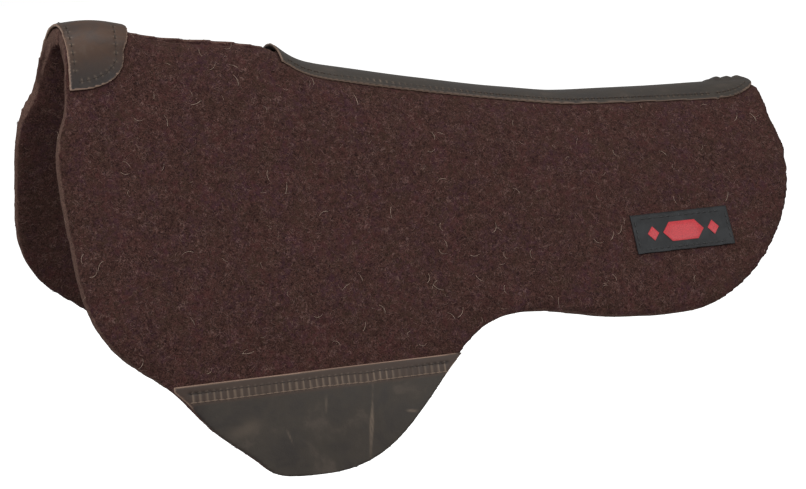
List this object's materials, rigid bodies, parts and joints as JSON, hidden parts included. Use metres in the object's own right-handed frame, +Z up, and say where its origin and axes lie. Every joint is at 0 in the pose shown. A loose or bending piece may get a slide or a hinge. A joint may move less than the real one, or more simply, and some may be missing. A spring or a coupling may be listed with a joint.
{
  "type": "western saddle pad",
  "caption": "Contoured western saddle pad of thick wool felt with a leather spine strap, wither cap, wear leathers and a small label.",
  "frame": {"origin": "underside of the felt spine at mid-length, where the horse's back or a rack carries the pad", "axes": "+X towards the horse's tail, -Y the horse's left side, +Z up; the two halves mirror about the XZ plane"},
  "size_m": [0.7642, 0.3834, 0.4025],
  "materials": {
    "wool_felt": "thick pressed wool felt, heathered dark brown",
    "oiled_leather": "oiled pull-up leather, dark brown, satin",
    "label_leather": "smooth black leather",
    "label_motif": "red printed leather",
    "label_thread": "black waxed thread",
    "waxed_thread": "dark brown waxed thread"
  },
  "bodies": {
    "spine": {"felt_crest_left": "wool_felt", "felt_crest_right": "wool_felt", "spine_strap": "oiled_leather", "wither_cap": "oiled_leather", "strap_stitching_left": "waxed_thread", "strap_stitching_right": "waxed_thread", "strap_tongue_stitching_left": "waxed_thread", "strap_tongue_stitching_right": "waxed_thread", "cap_rear_stitching_left": "waxed_thread", "cap_rear_stitching_right": "waxed_thread", "cap_front_stitching_left": "waxed_thread", "cap_front_stitching_right": "waxed_thread"},
    "left_side": {"felt_side_left": "wool_felt", "wear_leather_left": "oiled_leather", "label_patch": "label_leather", "label_motif": "label_motif", "label_stitching": "label_thread", "wear_upper_stitching_left": "waxed_thread", "wear_lower_stitching_left": "waxed_thread"},
    "right_side": {"felt_side_right": "wool_felt", "wear_leather_right": "oiled_leather", "wear_upper_stitching_right": "waxed_thread", "wear_lower_stitching_right": "waxed_thread"}
  },
  "joints": [
    {"name": "left_side_flex", "type": "hinge", "parent": "spine", "child": "left_side", "pos_m": [0, -0.079, -0.0735], "axis": [0.9983, 0.0576, 0], "range_deg": [-20, 20], "stiffness_Nm_per_rad": 12, "springref_deg": -1.26},
    {"name": "right_side_flex", "type": "hinge", "parent": "spine", "child": "right_side", "pos_m": [0, 0.079, -0.0735], "axis": [-0.9983, 0.0576, 0], "range_deg": [-20, 20], "stiffness_Nm_per_rad": 12, "springref_deg": -1.26}
  ]
}
